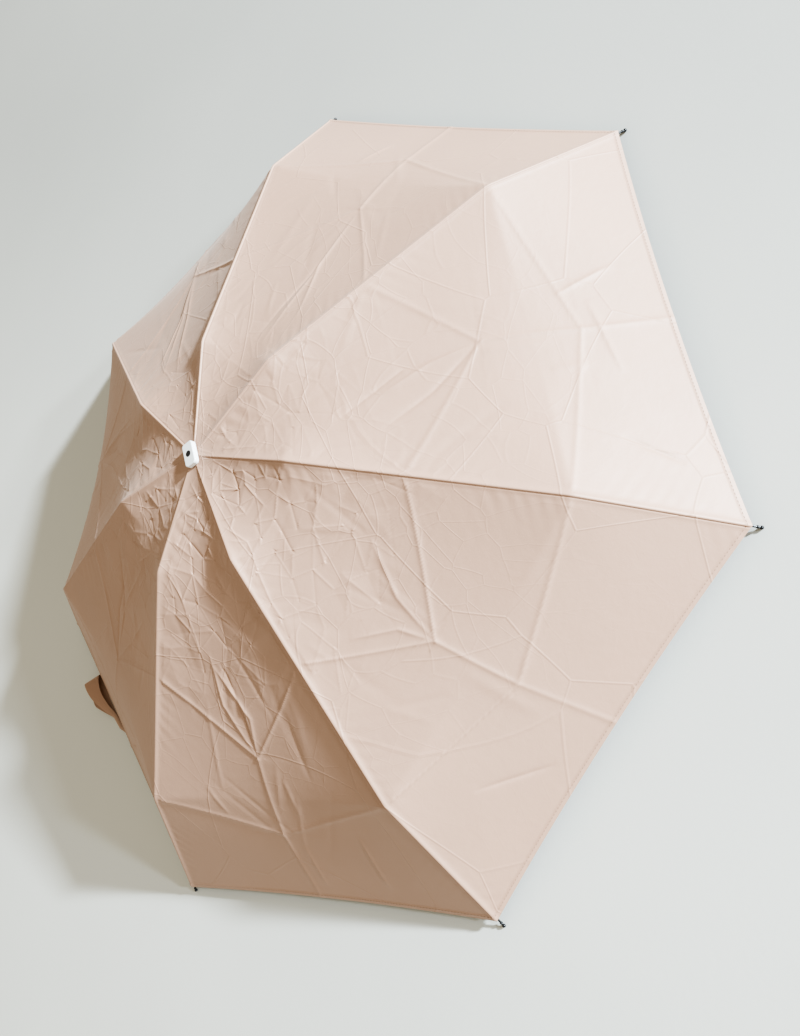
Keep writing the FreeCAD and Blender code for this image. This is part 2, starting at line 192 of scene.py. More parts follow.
def satin_fabric(name, colour):
    """Thin polyester satin: close weave, fine wrinkles, a soft sheen."""
    material, tree, shader = new_material(name)
    cloud = noise(tree, 9.0, detail=3.0)
    colour_out = ramp(tree, cloud.outputs["Fac"], shade(colour, 0.965), shade(colour, 1.03))
    tree.links.new(colour_out, shader.inputs["Base Color"])
    patches = noise(tree, 30.0, detail=5.0)
    tree.links.new(spread(tree, patches.outputs["Fac"], 0.54, 0.64), shader.inputs["Roughness"])
    shader.inputs["IOR"].default_value = 1.55
    shader.inputs["Specular IOR Level"].default_value = 0.85
    shader.inputs["Sheen Weight"].default_value = 0.14
    shader.inputs["Sheen Roughness"].default_value = 0.45
    shader.inputs["Sheen Tint"].default_value = (1.0, 0.93, 0.88, 1.0)
    wrinkle = noise(tree, 95.0, detail=7.0, roughness=0.62)
    below = bump(tree, shader, wrinkle.outputs["Fac"], 0.22, 0.0012)
    small = creases(tree, cells=27.0, width=0.0010, wander=0.10,
                    near=0.22, far=0.36, far_level=0.1)
    below = bump(tree, shader, small, 0.30, 0.0006, before=below)
    large = creases(tree, cells=9.0, width=0.0011, wander=0.15,
                    near=0.2, far=0.5, far_level=0.7)
    below = bump(tree, shader, large, 0.35, 0.0007, before=below)
    place = add_node(tree, "ShaderNodeTexCoord")
    weave = add_node(tree, "ShaderNodeTexWave", scale=420.0, distortion=0.6)
    tree.links.new(place.outputs["Object"], weave.inputs["Vector"])
    bump(tree, shader, weave.outputs["Fac"], 0.05, 0.0002, before=below)
    return material


def brushed_metal(name, colour, roughness):
    """Drawn steel with fine scratches and a little tarnish."""
    material, tree, shader = new_material(name)
    tarnish = noise(tree, 60.0, detail=5.0)
    colour_out = ramp(tree, tarnish.outputs["Fac"], shade(colour, 0.86), colour)
    tree.links.new(colour_out, shader.inputs["Base Color"])
    shader.inputs["Metallic"].default_value = 1.0
    scratches = noise(tree, 900.0, detail=3.0)
    rough = spread(tree, scratches.outputs["Fac"], roughness - 0.08, roughness + 0.12)
    tree.links.new(rough, shader.inputs["Roughness"])
    bump(tree, shader, scratches.outputs["Fac"], 0.08, 0.0002)
    return material


def moulded_plastic(name, colour, roughness, grain, coat=0.0):
    """Injection-moulded plastic with a faint grain and handling marks."""
    material, tree, shader = new_material(name)
    cloud = noise(tree, 45.0, detail=4.0)
    colour_out = ramp(tree, cloud.outputs["Fac"], shade(colour, 0.94), colour)
    tree.links.new(colour_out, shader.inputs["Base Color"])
    marks = noise(tree, 220.0, detail=5.0)
    rough = spread(tree, marks.outputs["Fac"], roughness - 0.05, roughness + 0.07)
    tree.links.new(rough, shader.inputs["Roughness"])
    shader.inputs["Coat Weight"].default_value = coat
    shader.inputs["Coat Roughness"].default_value = 0.12
    bump(tree, shader, marks.outputs["Fac"], grain, 0.0002)
    return material


FLOOR_REACH = (-0.25, 0.65)            # where along X the painted shade on the floor starts, and where it is darkest
FLOOR_PAINTED_SHADE = (1.0, 0.72)                # the shares of the floor's colour that are left there, under the painted shade


def pale_floor():
    """A matt pale floor, faintly clouded, with painted light falloff: its colour darkens along X."""
    material, tree, shader = new_material("pale_floor")
    cloud = noise(tree, 2.2, detail=5.0)
    colour_out = ramp(tree, cloud.outputs["Fac"], (0.72, 0.73, 0.69), (0.77, 0.78, 0.735))
    position = add_node(tree, "ShaderNodeNewGeometry").outputs["Position"]
    place = add_node(tree, "ShaderNodeSeparateXYZ")
    tree.links.new(position, place.inputs[0])
    # painted shade: the floor's colour is scaled down along X, across FLOOR_REACH
    painted_shade_share = add_node(tree, "ShaderNodeMapRange", interpolation_type="SMOOTHSTEP",
                   from_min=FLOOR_REACH[0], from_max=FLOOR_REACH[1],
                   to_min=FLOOR_PAINTED_SHADE[0], to_max=FLOOR_PAINTED_SHADE[1])
    tree.links.new(place.outputs["X"], painted_shade_share.inputs["Value"])
    painted_shade_colour = add_node(tree, "ShaderNodeVectorMath", operation="MULTIPLY")
    tree.links.new(colour_out, painted_shade_colour.inputs[0])
    tree.links.new(painted_shade_share.outputs["Result"], painted_shade_colour.inputs[1])
    tree.links.new(painted_shade_colour.outputs[0], shader.inputs["Base Color"])
    shader.inputs["Roughness"].default_value = 0.75
    shader.inputs["Specular IOR Level"].default_value = 0.2
    speckle = noise(tree, 160.0, detail=3.0)
    bump(tree, shader, speckle.outputs["Fac"], 0.05, 0.001)
    return material


SATIN = satin_fabric("rose_satin", ROSE)
THREAD = satin_fabric("thread", shade(ROSE, 0.62))
FINISH = {
    "canopy_fabric": SATIN,
    "washer_fabric": satin_fabric("washer_satin", shade(ROSE, 0.9)),
    "cap_white": moulded_plastic("cap_white_gloss", (0.86, 0.87, 0.86), 0.16, 0.02, coat=0.5),
    "handle_white": moulded_plastic("handle_white_gloss", (0.84, 0.84, 0.82), 0.22, 0.03,
                                    coat=0.3),
    "shaft_steel": brushed_metal("shaft_steel", (0.62, 0.62, 0.64), 0.28),
    "wire_steel": brushed_metal("wire_steel", (0.55, 0.55, 0.57), 0.35),
    "frame_plastic": moulded_plastic("frame_plastic", (0.035, 0.035, 0.038), 0.42, 0.12),
    "button_plastic": moulded_plastic("button_plastic", (0.62, 0.62, 0.62), 0.35, 0.08),
    "outer_rib": moulded_plastic("outer_rib", (0.022, 0.022, 0.024), 0.30, 0.08, coat=0.2),
    "rib_steel": brushed_metal("rib_steel", (0.50, 0.50, 0.52), 0.33),
}


def finish_cad_nodes():
    for subpart in RECORD["subparts"]:
        mesh = frame["nodes"][subpart["node"]].data
        mesh.materials.clear()
        mesh.materials.append(FINISH[subpart["material_slot"]])


# ---- the canopy's creases, in a panel's flat millimetres: (across from its middle, along) -------
CLOSING_ANGLES = (45, 16)              # degrees from the hem's direction, upper and lower folds
MEETING_SLIP = 12.0                    # how far off a panel's middle line these folds may meet
FAN_FOLDS = (2, 4)                     # fewest and most folds that gather at the upper meeting
FAN_BEND = 16.0                        # how far the middle of such a fold lies off its chord
HEM_FOLDS = (1, 3)                     # fewest and most short folds above the hem
HEM_FOLD_ACROSS = (-110, 110)          # where they start
HEM_FOLD_ALONG = (370, 410)
HEM_FOLD_LENGTH = (45.0, 85.0)
FOLD_HEIGHT = 1.5 * MM
FOLD_WIDTH = 1.5 * MM
FOLD_SHOULDER = 0.45 * MM
SHOULDER_WIDTH = 26 * MM
FOLD_SOFTNESS = 0.7 * MM               # radius that a fold's top is rounded to
CRUMPLE_START = 12.0                   # millimetres along a panel
CRUMPLE_END = (215.0, 175.0, 165.0, 185.0, 215.0, 250.0, 255.0)
CRUMPLE_SPACING = (11.0, 27.0)         # between its corners, at the crown and at its end
CRUMPLE_HEIGHT = (0.9, 0.7, 0.8, 0.95, 1.15, 1.4, 1.35)
CREST_HEIGHT = (0.25, 0.75)            # as shares of that
CREST_SHARE = 0.75                     # of the crumple's edges that stand up as a sharp crest
CREST_SOFTNESS = 0.3 * MM
CREST_WIDTH = (0.8, 1.4)               # millimetres
PLEATS = 16                            # in each panel; the next five are in millimetres
PLEAT_ACROSS = (-75, 75)
PLEAT_ALONG = (130, 400)
PLEAT_HALF_LENGTH = (15, 55)
PLEAT_WIDTH = (2.5, 6.0)
PLEAT_HEIGHT = (0.2, 0.5)
PUCKER_PITCH = 13 * MM
PUCKER_REACH = 16 * MM                 # away from the seam
PUCKER_HEIGHT = 0.45 * MM
PUCKER_FADE = 160 * MM                 # along the seam, away from the crown


def near_segment(across, along, start, end, reach):
    """Points within reach of a segment, and their distance from it."""
    dx, dy = end[0] - start[0], end[1] - start[1]
    box = ((across > min(start[0], end[0]) - reach) & (across < max(start[0], end[0]) + reach)
           & (along > min(start[1], end[1]) - reach) & (along < max(start[1], end[1]) + reach))
    x, y = across[box] - start[0], along[box] - start[1]
    share = np.clip((x * dx + y * dy) / max(dx * dx + dy * dy, 1e-12), 0, 1)
    return box, np.hypot(x - share * dx, y - share * dy), share


def fold(across, along, points, height, width, shoulder, shoulder_width, fade=0.001):
    """A sharp fold along a line of points, with wide flat shoulders, that fades at its ends."""
    total = np.zeros_like(across)
    whole = sum(math.dist(start, end) for start, end in zip(points, points[1:]))
    walked = 0.0
    for start, end in zip(points, points[1:]):
        a = (start[0] * MM, start[1] * MM)
        b = (end[0] * MM, end[1] * MM)
        box, distance, share = near_segment(across, along, a, b, 5 * shoulder_width)
        place = (walked + share * math.dist(start, end)) / whole
        walked += math.dist(start, end)
        taper = np.clip(np.minimum(place, 1 - place) / fade, 0, 1) ** 0.7
        distance = np.hypot(distance, FOLD_SOFTNESS)
        crest = height * np.exp(-distance / width) + shoulder * np.exp(-distance / shoulder_width)
        crest *= taper
        total[box] = np.where(np.abs(crest) > np.abs(total[box]), crest, total[box])
    return total


def closing_folds(rng):
    """The lines that closing presses into every panel, and the point where the upper two meet.

    From both seams, at the middle hinge and at the second knee, they run to the panel's
    middle, and from there down to the hem.
    """
    folds, meetings = [], []
    for hinge_s, degrees in zip((MIDDLE_S, KNEE_2_S), CLOSING_ANGLES):
        seam = float(profile_at(hinge_s)[0]) * math.sin(HALF_PANEL) / MM
        start = hinge_s / MM
        rise = seam * math.tan(math.radians(degrees)) + rng.uniform(-4, 4)
        meeting = (rng.uniform(-MEETING_SLIP, MEETING_SLIP), start + rise)
        folds.append([(-seam, start), meeting, (seam, start)])
        meetings.append(meeting)
    folds.append(meetings)
    folds.append([meetings[1], (rng.uniform(-MEETING_SLIP, MEETING_SLIP), HEM_S / MM)])
    return folds, meetings[0]


def stray_folds(panel, meeting, rng):
    """Folds of one panel alone: some gather at the meeting point, short ones lie by the hem."""
    folds = []
    for _ in range(rng.randint(*FAN_FOLDS)):
        y = CRUMPLE_END[panel - 1] * rng.uniform(0.65, 0.95)
        x = y * math.tan(HALF_PANEL) * rng.uniform(-0.6, 0.6)
        middle = ((x + meeting[0]) / 2 + rng.uniform(-FAN_BEND, FAN_BEND), (y + meeting[1]) / 2)
        folds.append([(x, y), middle, meeting])
    for _ in range(rng.randint(*HEM_FOLDS)):
        x, y = rng.uniform(*HEM_FOLD_ACROSS), rng.uniform(*HEM_FOLD_ALONG)
        length, turn = rng.uniform(*HEM_FOLD_LENGTH), rng.gauss(0, 0.5)
        folds.append([(x, y), (x + length * math.sin(turn), y + length * math.cos(turn))])
    return folds


def crumple_net(panel, rng):
    """Corners, with a height each, and triangles of the crumple over a panel's upper end."""
    end = CRUMPLE_END[panel - 1]
    slope = math.tan(HALF_PANEL)
    corners = []
    row = CRUMPLE_START
    while row < end + CRUMPLE_SPACING[1]:
        share = min(1.0, row / end)
        spacing = CRUMPLE_SPACING[0] + (CRUMPLE_SPACING[1] - CRUMPLE_SPACING[0]) * share
        half = (row + 7.0) * 0.97 * slope
        count = max(1, round(2 * half / spacing))
        for i in range(count + 1):
            x = -half + 2 * half * i / count
            corners.append(Vector((x + rng.uniform(-0.33, 0.33) * spacing,
                                   row + rng.uniform(-0.38, 0.38) * spacing)))
        row += spacing * rng.uniform(0.75, 1.05)
    places, edges, faces = geometry.delaunay_2d_cdt(corners, [], [], 0, 0.001)[:3]
    heights = []
    for place in places:
        fade = max(0.0, 1.0 - (place.y / (end + CRUMPLE_SPACING[1])) ** 3)
        heights.append(rng.uniform(-1, 1) * fade * (0.45 + 0.55 * place.y / end))
    return places, heights, edges, faces


def crumple(panel, across, along, rng):
    """Flat facets between random corners, some of their edges raised to a crest."""
    places, heights, edges, faces = crumple_net(panel, rng)
    scale = CRUMPLE_HEIGHT[panel - 1] * MM
    relief = np.zeros_like(across)
    for face in faces:
        (ax, ay), (bx, by), (cx, cy) = (places[i] * MM for i in face)
        box = ((across >= min(ax, bx, cx)) & (across <= max(ax, bx, cx))
               & (along >= min(ay, by, cy)) & (along <= max(ay, by, cy)))
        x, y = across[box], along[box]
        area = (bx - ax) * (cy - ay) - (cx - ax) * (by - ay)
        if abs(area) < 1e-12:
            continue
        u = ((x - ax) * (cy - ay) - (cx - ax) * (y - ay)) / area
        v = ((bx - ax) * (y - ay) - (x - ax) * (by - ay)) / area
        inside = (u >= -1e-9) & (v >= -1e-9) & (u + v <= 1 + 1e-9)
        level = heights[face[0]] * (1 - u - v) + heights[face[1]] * u + heights[face[2]] * v
        relief[box] = np.where(inside, level * scale, relief[box])
    crests = np.zeros_like(across)
    for a, b in edges:
        if rng.random() > CREST_SHARE:
            continue
        fade = max(0.0, 1.0 - places[a].y / CRUMPLE_END[panel - 1])
        height = rng.choice((-1, 1, 1, 1)) * rng.uniform(*CREST_HEIGHT) * fade ** 0.5 * scale
        width = rng.uniform(*CREST_WIDTH) * MM
        box, distance, _ = near_segment(across, along, places[a] * MM, places[b] * MM, 6 * width)
        crest = height * np.exp(-np.hypot(distance, CREST_SOFTNESS) / width)
        crests[box] = np.where(np.abs(crest) > np.abs(crests[box]), crest, crests[box])
    return relief + crests


def pleats(across, along, rng):
    """Long soft wrinkles that run down a panel from the crumple."""
    relief = np.zeros_like(across)
    for _ in range(PLEATS):
        x, y = rng.uniform(*PLEAT_ACROSS) * MM, rng.uniform(*PLEAT_ALONG) * MM
        turn = rng.gauss(math.pi / 2, 0.35)
        half = rng.uniform(*PLEAT_HALF_LENGTH) * MM
        a = (x - half * math.cos(turn), y - half * math.sin(turn))
        b = (x + half * math.cos(turn), y + half * math.sin(turn))
        width = rng.uniform(*PLEAT_WIDTH) * MM
        box, distance, share = near_segment(across, along, a, b, 5 * width)
        swell = rng.choice((-1, 1)) * rng.uniform(*PLEAT_HEIGHT) * MM
        relief[box] += swell * np.sin(math.pi * share) ** 0.7 * np.exp(-(distance / width) ** 2)
    return relief


def puckers(from_rib, along, rng):
    """Short wrinkles that pull aslant from the seams."""
    phase = rng.uniform(0, 6)
    wander = 1.3 * np.sin(along / (37 * MM) + phase) + 0.8 * np.sin(along / (16 * MM) + 2 * phase)
    wave = np.sin(2 * math.pi * (along - 0.8 * from_rib) / PUCKER_PITCH + wander)
    gate = np.clip(np.sin(along / (29 * MM) + 3 * phase) + 0.35, 0, 1)
    strength = PUCKER_HEIGHT * gate * (0.35 + 0.65 * np.exp(-along / PUCKER_FADE))
    return strength * wave * np.exp(-from_rib / PUCKER_REACH)


def panel_relief(panel, across, along, from_rib):
    """How far the cloth stands off its taut shape, in metres."""
    rng = random.Random(panel * 101 + 7)
    relief = np.zeros_like(across)
    closing, meeting = closing_folds(rng)
    for points in closing:
        strength = rng.uniform(0.65, 1.0)
        relief += fold(across, along, points, FOLD_HEIGHT * strength, FOLD_WIDTH,
                       FOLD_SHOULDER * strength, SHOULDER_WIDTH)
    for points in stray_folds(panel, meeting, rng):
        side = rng.choice((-1, 1, 1))
        relief += fold(across, along, points, side * FOLD_HEIGHT * 0.9, FOLD_WIDTH,
                       side * FOLD_SHOULDER * 0.6, SHOULDER_WIDTH * 0.5, fade=0.3)
    relief += crumple(panel, across, along, rng)
    relief += pleats(across, along, rng)
    relief += puckers(from_rib, along, rng)
    return relief


# ---- the canopy's surface -----------------------------------------------------------------------
def rows_between(start, end, count):
    return list(np.linspace(start, end, count + 1)[:-1])


HEM_WIDTH = 5.0 * MM
HEM_HOLLOW = 6.5 * MM                  # the hem curves in this far between two ribs
HEM_BAND = 8 * MM                      # the dense rows beside the hem
SECTION_ROWS = (96, 84, 70)            # rows over the first three sections of a rib
OUTER_ROWS, HEM_ROWS = 66, 10
ROW_S = np.array(
    rows_between(0.0, KNEE_1_S, SECTION_ROWS[0])
    + rows_between(KNEE_1_S, MIDDLE_S, SECTION_ROWS[1])
    + rows_between(MIDDLE_S, KNEE_2_S, SECTION_ROWS[2])
    + rows_between(KNEE_2_S, HEM_S - HEM_BAND, OUTER_ROWS)
    + rows_between(HEM_S - HEM_BAND, HEM_S, HEM_ROWS)
    + [HEM_S])
ROW_BREAKS = [0, *np.cumsum(SECTION_ROWS).tolist(), len(ROW_S) - 1]
SEAM_OFFSETS = np.array([0.0, 0.6, 1.2, 1.8, 2.4, 3.0, 3.8, 5.2]) * MM
EVEN_COLUMNS = 240
TAUT_ROUNDING = 5 * MM                 # along a rib, where the cloth bends over a knee
FREE_ROUNDING = 125 * MM               # in the middle of a panel
PANEL_SAG = 8.0 * MM
PROFILE_REACH = 0.3                    # how far the outline runs on past both its ends
ROUNDING_STEPS = 21
ROLL = (0.9 * MM, 3.2 * MM)            # height and half width of the cloth drawn over a rib
ROLL_GROWTH = 150 * MM                 # from the crown to where the roll is at its full height
LIP = (0.3 * MM, 0.6 * MM, 0.5 * MM)   # height, place beside the rib and half width
DITCH = (0.6 * MM, 1.8 * MM, 0.6 * MM)
HEM_STEP = 0.45 * MM                   # how far the turned hem stands up
HEM_EDGE = 0.7 * MM                    # half width of the slope up to it


def profile_at(s):
    """Radius and height on the ribs' outline, run on straight past both ends."""
    outline = np.array(PROFILE)
    first = outline[0] + (outline[0] - outline[1]) / PROFILE_STEPS[0] * PROFILE_REACH
    last = outline[-1] + (outline[-1] - outline[-2]) / PROFILE_STEPS[-1] * PROFILE_REACH
    outline = np.vstack([first, outline, last])
    stations = np.concatenate([[-PROFILE_REACH], PROFILE_S, [HEM_S + PROFILE_REACH]])
    return np.interp(s, stations, outline[:, 0]), np.interp(s, stations, outline[:, 1])


def rounded_profile(s, width):
    """The ribs' outline with its bends rounded off, as a mean over a width on both sides."""
    r = np.zeros_like(s)
    z = np.zeros_like(s)
    total = 0.0
    for t in np.linspace(-1, 1, ROUNDING_STEPS):
        weight = 1 + math.cos(math.pi * t)
        part_r, part_z = profile_at(s + t * width)
        r += weight * part_r
        z += weight * part_z
        total += weight
    return r / total, z / total


def column_shares(width):
    """Shares across a panel of that width: dense beside both seams, even between them."""
    half = width[:, None] / 2
    widest = half * np.linspace(0, 0.4, len(SEAM_OFFSETS))[None, :]
    near = np.minimum(SEAM_OFFSETS[None, :], widest)
    start = near[:, -1:]
    even = np.linspace(0, 1, EVEN_COLUMNS // 2 + 1)[None, 1:]
    inner = start + (half - start) * even
    left = np.concatenate([near, inner], axis=1) / width[:, None]
    return np.concatenate([left, 1 - left[:, -2:0:-1]], axis=1)


def seam_relief(offset, along):
    """Cloth drawn over a rib, with the seam's narrow lip and ditch to one side of it."""
    roll = ROLL[0] * np.exp(-(offset / ROLL[1]) ** 2) * np.clip(along / ROLL_GROWTH, 0.25, 1)
    lip, ditch = (height * np.exp(-((offset + place) / width) ** 2)
                  for height, place, width in (LIP, DITCH))
    return roll + lip - ditch


def make_canopy_grid():
    """Points of the whole canopy, as rows by columns, going once round from rib 1."""
    rib_r, _ = rounded_profile(ROW_S, TAUT_ROUNDING)
    width = 2 * rib_r * math.sin(HALF_PANEL)
    share = column_shares(width)
    hollow = 4 * share * (1 - share)
    s = np.repeat(ROW_S[:, None], share.shape[1], axis=1)
    past = np.clip((s - KNEE_2_S) / (HEM_S - KNEE_2_S), 0, 1)
    s = s - past * HEM_HOLLOW * hollow
    taut_r, taut_z = rounded_profile(s, TAUT_ROUNDING)
    free_r, free_z = rounded_profile(s, FREE_ROUNDING)
    mix = np.sin(math.pi * share) ** 1.2
    r = taut_r + (free_r - taut_r) * mix
    z = taut_z + (free_z - taut_z) * mix
    z = z - PANEL_SAG * hollow ** 0.85 * np.sin(math.pi * np.clip(s / HEM_S, 0, 1)) ** 0.8
    parts = []
    for panel in range(1, RIBS + 1):
        start = rib_angle(panel)
        a = np.array([math.cos(start), math.sin(start)])
        end = start + 2 * HALF_PANEL
        b = np.array([math.cos(end), math.sin(end)])
        x = r * ((1 - share) * a[0] + share * b[0])
        y = r * ((1 - share) * a[1] + share * b[1])
        across = (share - 0.5) * 2 * r * math.sin(HALF_PANEL)
        from_rib = np.minimum(share, 1 - share) * 2 * r * math.sin(HALF_PANEL)
        relief = panel_relief(panel, across, s, from_rib)
        relief *= np.clip((from_rib - 2.5 * MM) / (6 * MM), 0, 1)
        relief *= np.clip((s - 12 * MM) / (20 * MM), 0, 1)
        signed = np.where(share < 0.5, from_rib, -from_rib)
        relief = relief + seam_relief(signed, s) * np.clip(s / (18 * MM), 0, 1)
        to_hem = HEM_S - HEM_HOLLOW * hollow - s
        relief = relief * np.clip(to_hem / (4 * MM) + 0.4, 0, 1)
        relief = relief + HEM_STEP / 2 * (1 - np.tanh((to_hem - HEM_WIDTH) / HEM_EDGE))
        parts.append((x, y, z, relief))
    x, y, z, relief = (np.concatenate([p[i] for p in parts], axis=1) for i in range(4))
    flat = np.stack([x, y, z], axis=2)
    return flat + grid_normals(flat) * relief[:, :, None]


def grid_normals(points):
    """Normals of a grid that closes on itself, round the crown."""
    round_way = np.roll(points, -1, axis=1) - np.roll(points, 1, axis=1)
    down_way = np.empty_like(points)
    down_way[1:-1] = points[2:] - points[:-2]
    down_way[0] = points[1] - points[0]
    down_way[-1] = points[-1] - points[-2]
    normal = np.cross(down_way, round_way)
    return normal / np.maximum(np.linalg.norm(normal, axis=2, keepdims=True), 1e-12)


def grid_normals_open(points):
    """Normals of a grid that doesn't close on itself."""
    round_way = np.gradient(points, axis=1)
    down_way = np.gradient(points, axis=0)
    normal = np.cross(down_way, round_way)
    return normal / np.maximum(np.linalg.norm(normal, axis=2, keepdims=True), 1e-12)


def grid_mesh(name, points, normals, material):
    rows, columns = points.shape[:2]
    index = np.arange(rows * columns).reshape(rows, columns)
    faces = np.stack([index[:-1, :-1], index[1:, :-1], index[1:, 1:], index[:-1, 1:]], axis=2)
    faces = faces.reshape(-1, 4)
    mesh = bpy.data.meshes.new(name)
    mesh.from_pydata(points.reshape(-1, 3).tolist(), [], faces.tolist())
    mesh.polygons.foreach_set("use_smooth", [True] * len(mesh.polygons))
    mesh.materials.append(material)
    mesh.update()
    mesh.normals_split_custom_set_from_vertices(normals.reshape(-1, 3).tolist())
    made = bpy.data.objects.new(name, mesh)
    bpy.context.scene.collection.objects.link(made)
    return made


def fold_with_rib(piece, rib, section):
    """The piece rides on a rib's section, with a mesh of its own."""
    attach(piece, f"rib_{rib}_{section}")
    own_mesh(piece)


def make_canopy():
    points = make_canopy_grid()
    normals = grid_normals(points)
    per_panel = points.shape[1] // RIBS
    half = per_panel // 2
    for rib in range(1, RIBS + 1):
        middle = (rib - 1) * per_panel
        columns = np.arange(middle - half, middle + half + 1) % points.shape[1]
        for number, section in enumerate(SECTIONS):
            rows = np.arange(ROW_BREAKS[number], ROW_BREAKS[number + 1] + 1)
            part = np.ix_(rows, columns)
            piece = grid_mesh(f"canopy_{rib}_{section}", points[part], normals[part], SATIN)
            fold_with_rib(piece, rib, section)
            if section == "inner":
                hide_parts(f"canopy_panel_{rib}")
    return points, normals


# ---- stitches along the hem ---------------------------------------------------------------------
STITCH_LENGTH = 2.2 * MM
STITCH_PITCH = 3.3 * MM
STITCH_WIDTH = 0.55 * MM
STITCH_RISE = 0.22 * MM
STITCH_FOOT = 0.05 * MM                # its ends stand this far off the cloth
STITCH_INSET = 4.2 * MM


def stitch_points(line, normals):
    """Small raised lozenges along a line, as points and faces."""
    steps = np.linalg.norm(np.diff(line, axis=0), axis=1)
    along = np.concatenate([[0], np.cumsum(steps)])
    count = int(along[-1] / STITCH_PITCH)
    points, faces = [], []
    for i in range(count):
        middle = (i + 0.5) * STITCH_PITCH
        ends = []
        for s in (middle - STITCH_LENGTH / 2, middle, middle + STITCH_LENGTH / 2):
            ends.append(Vector([float(np.interp(s, along, line[:, a])) for a in range(3)]))
        up = Vector([float(np.interp(middle, along, normals[:, a])) for a in range(3)])
        up.normalize()
        way = (ends[2] - ends[0]).normalized()
        side = way.cross(up) * STITCH_WIDTH / 2
        low = up * STITCH_FOOT
        base = len(points)
        points += [ends[0] + low, ends[1] + side + low, ends[2] + low, ends[1] - side + low,
                   ends[0].lerp(ends[1], 0.4) + up * STITCH_RISE,
                   ends[2].lerp(ends[1], 0.4) + up * STITCH_RISE]
        for face in ((0, 1, 4), (1, 5, 4), (1, 2, 5), (2, 3, 5), (3, 4, 5), (3, 0, 4)):
            faces.append([base + corner for corner in face])
    return points, faces


def make_hem_stitches(points, normals):
    per_panel = points.shape[1] // RIBS
    half = per_panel // 2
    row = int(np.argmin(np.abs(ROW_S - (HEM_S - STITCH_INSET))))
    for rib in range(1, RIBS + 1):
        middle = (rib - 1) * per_panel
        columns = np.arange(middle - half, middle + half + 1) % points.shape[1]
        corners, faces = stitch_points(points[row, columns], normals[row, columns])
        mesh = bpy.data.meshes.new(f"hem_stitches_{rib}")
        mesh.from_pydata(corners, [], faces)
        mesh.materials.append(THREAD)
        piece = bpy.data.objects.new(f"hem_stitches_{rib}", mesh)
        bpy.context.scene.collection.objects.link(piece)
        fold_with_rib(piece, rib, "outer")


# ---- the closing strap: a ribbon loop that lies on the ground beside the hem --------------------
STRAP_RIB = 5
STRAP_ALONG = (6 * MM, 112 * MM)       # its sewn and its folded end, along the hem from its middle
STRAP_NEAR = 405 * MM                  # of its inner edge, from the shaft, square to the hem
STRAP_BULGE = 5 * MM                   # how far that edge bends outwards in between
STRAP_TUCK = (11 * MM, 0.25)           # its sewn end goes this far under the hem, over that share
STRAP_RIBBON = 20.5 * MM
STRAP_TILT = 30                        # degrees that the ribbon's outer edge is raised by
STRAP_KNOT = 0.42                      # share of its length to where the loop is stitched together
KNOT_WIDTH = 0.27                      # share of the ribbon's width, gathered at the knot
STRAP_RISE = 9.0 * MM                  # of the upper layer, where the loop is widest
LAYER_GAP = 0.5 * MM
STRAP_LIFT = 0.9 * MM                  # of the lower layer off the ground
NOSE_SHARE = 0.07                      # of the loop's length, where its folded end rounds off
NOSE_RISE = 2.2 * MM
STRAP_CUP = 0.8 * MM


def strap_section(t):
    """Share of the length, height and width share, for t from 0 to 2: out below, back above."""
    out = t if t < 1 else 2 - t
    above = t > 1
    past = max(0.0, (out - STRAP_KNOT) / (1 - STRAP_KNOT))
    rise = math.sin(math.pi * past ** 1.3) ** 0.8 if 0 < past < 1 else 0.0
    nose_past = max(0.0, past - (1 - NOSE_SHARE)) / NOSE_SHARE
    nose = math.sqrt(max(0.0, 1 - nose_past ** 2))
    half_gap = LAYER_GAP + STRAP_RISE * rise / 2 + NOSE_RISE * past ** 5
    spread_half = half_gap * nose
    middle = STRAP_LIFT + half_gap
    widen = min(1.0, past / (0.97 if above else 0.45))
    share = KNOT_WIDTH + (1 - KNOT_WIDTH) * widen
    return out, middle + (spread_half if above else -spread_half), share


def make_closing_strap():
    middle = rib_angle(STRAP_RIB) + HALF_PANEL
    outward = Vector((math.cos(middle), math.sin(middle), 0))
    along_hem = Vector((math.sin(middle), -math.cos(middle), 0))
    length = STRAP_ALONG[1] - STRAP_ALONG[0]
    steps = np.concatenate([np.linspace(0, 0.92, 30), np.linspace(0.925, 1.075, 41),
                            np.linspace(1.08, 2, 30)])
    tilt = math.radians(STRAP_TILT)
    rows = []
    for across in np.linspace(0, 1, 17):
        row = []
        for t in steps:
            out, height, share = strap_section(float(t))
            near = STRAP_NEAR + STRAP_BULGE * math.sin(math.pi * out ** 1.3)
            near -= STRAP_TUCK[0] * max(0.0, 1 - out / STRAP_TUCK[1])
            wide = STRAP_RIBBON * across * share
            lean = tilt * share
            cup = STRAP_CUP * math.sin(math.pi * across) * (1.15 - share)
            place = along_hem * (STRAP_ALONG[0] + length * out)
            place += outward * (near + wide * math.cos(lean))
            row.append((place.x, place.y, height + wide * math.sin(lean) + cup))
        rows.append(row)
    grid = np.array(rows)
    piece = grid_mesh("closing_strap_ribbon", grid, grid_normals_open(grid), SATIN)
    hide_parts("closing_strap")
    fold_with_rib(piece, STRAP_RIB, "outer")


# ---- the cap's plain dot ------------------------------------------------------------------------
DOT_RADIUS = 3.1 * MM
DOT_RISE = 0.18 * MM


